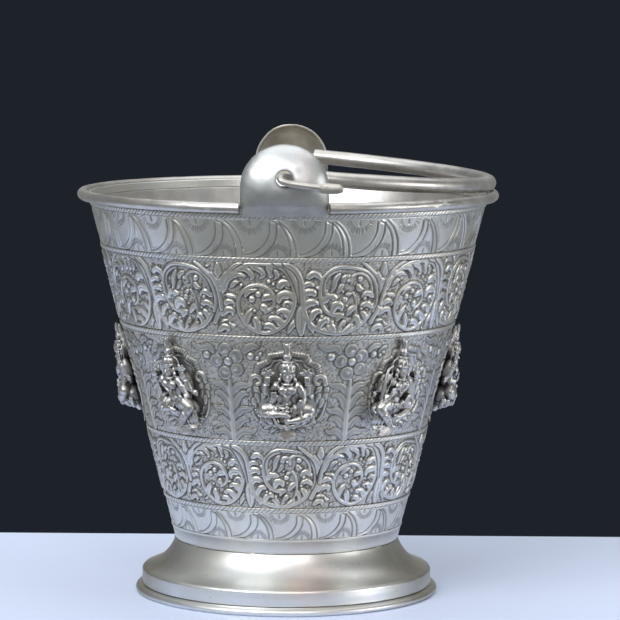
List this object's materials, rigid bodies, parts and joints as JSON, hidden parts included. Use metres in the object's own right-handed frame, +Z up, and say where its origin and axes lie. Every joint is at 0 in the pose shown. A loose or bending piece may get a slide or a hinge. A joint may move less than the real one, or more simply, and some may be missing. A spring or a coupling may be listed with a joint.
{
  "type": "puja bucket",
  "caption": "Flared puja bucket of chased German silver on a spun foot, with cast seated figures round the wall and a swinging bail in domed ears.",
  "frame": {"origin": "middle of the foot, on the surface that the bucket stands on", "axes": "+Z up; +X towards the side on which the bail lies; the ears stand on -Y (front) and +Y (back)"},
  "size_m": [0.2, 0.2172, 0.2188],
  "materials": {
    "chased_sheet": "chased German silver, darkened in the hollows",
    "polished_sheet": "hand-polished German silver",
    "polished_bar": "hand-polished German silver with small dents",
    "spun_foot": "satin German silver",
    "cast_metal": "cast white metal, dark in the hollows"
  },
  "bodies": {
    "vessel": {"bucket_wall": "chased_sheet", "bucket_floor": "polished_sheet", "foot_shell": "spun_foot", "foot_base_ring": "spun_foot", "rim_bead_right": "polished_bar", "rim_bead_left": "polished_bar", "ear_front": "polished_sheet", "ear_back": "polished_sheet", "figure_front": "cast_metal", "figure_front_right": "cast_metal", "figure_right": "cast_metal", "figure_back_right": "cast_metal", "figure_back": "cast_metal", "figure_back_left": "cast_metal", "figure_left": "cast_metal", "figure_front_left": "cast_metal"},
    "bail": {"bail_grip": "polished_bar", "bail_hook_front": "polished_bar", "bail_hook_back": "polished_bar"}
  },
  "joints": [
    {"name": "bail_hinge", "type": "hinge", "parent": "vessel", "child": "bail", "pos_m": [0, 0, 0.2042], "axis": [0, -1, 0], "range_deg": [0, 189.6]}
  ]
}
